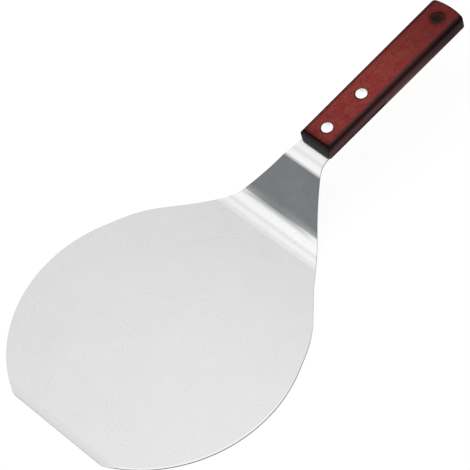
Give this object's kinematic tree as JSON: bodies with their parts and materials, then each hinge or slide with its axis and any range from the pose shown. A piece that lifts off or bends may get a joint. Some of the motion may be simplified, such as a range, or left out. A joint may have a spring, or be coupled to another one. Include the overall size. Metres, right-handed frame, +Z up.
{
  "type": "cake lifter",
  "caption": "Round flat sheet-steel lifting blade with a straight ground tip, cranked up to a tang that is riveted in a wooden bar handle with a hanging hole.",
  "frame": {"origin": "centre of the blade's round disc, on the blade's underside", "axes": "+X from the disc to the handle, +Y to the left of the blade seen from above with the handle pointing away, +Z up from the surface that the blade lies on"},
  "size_m": [0.3936, 0.204, 0.0572],
  "materials": {
    "blade_steel": "fine brushed stainless sheet",
    "handle_wood": "red-brown laminated hardwood, sealed, with a dull satin sheen",
    "rivet_steel": "bright polished rivet heads"
  },
  "bodies": {
    "root": {"blade": "blade_steel", "handle": "handle_wood", "front_rivet_sleeve": "rivet_steel", "front_rivet_stud": "rivet_steel", "rear_rivet_sleeve": "rivet_steel", "rear_rivet_stud": "rivet_steel"}
  },
  "joints": []
}
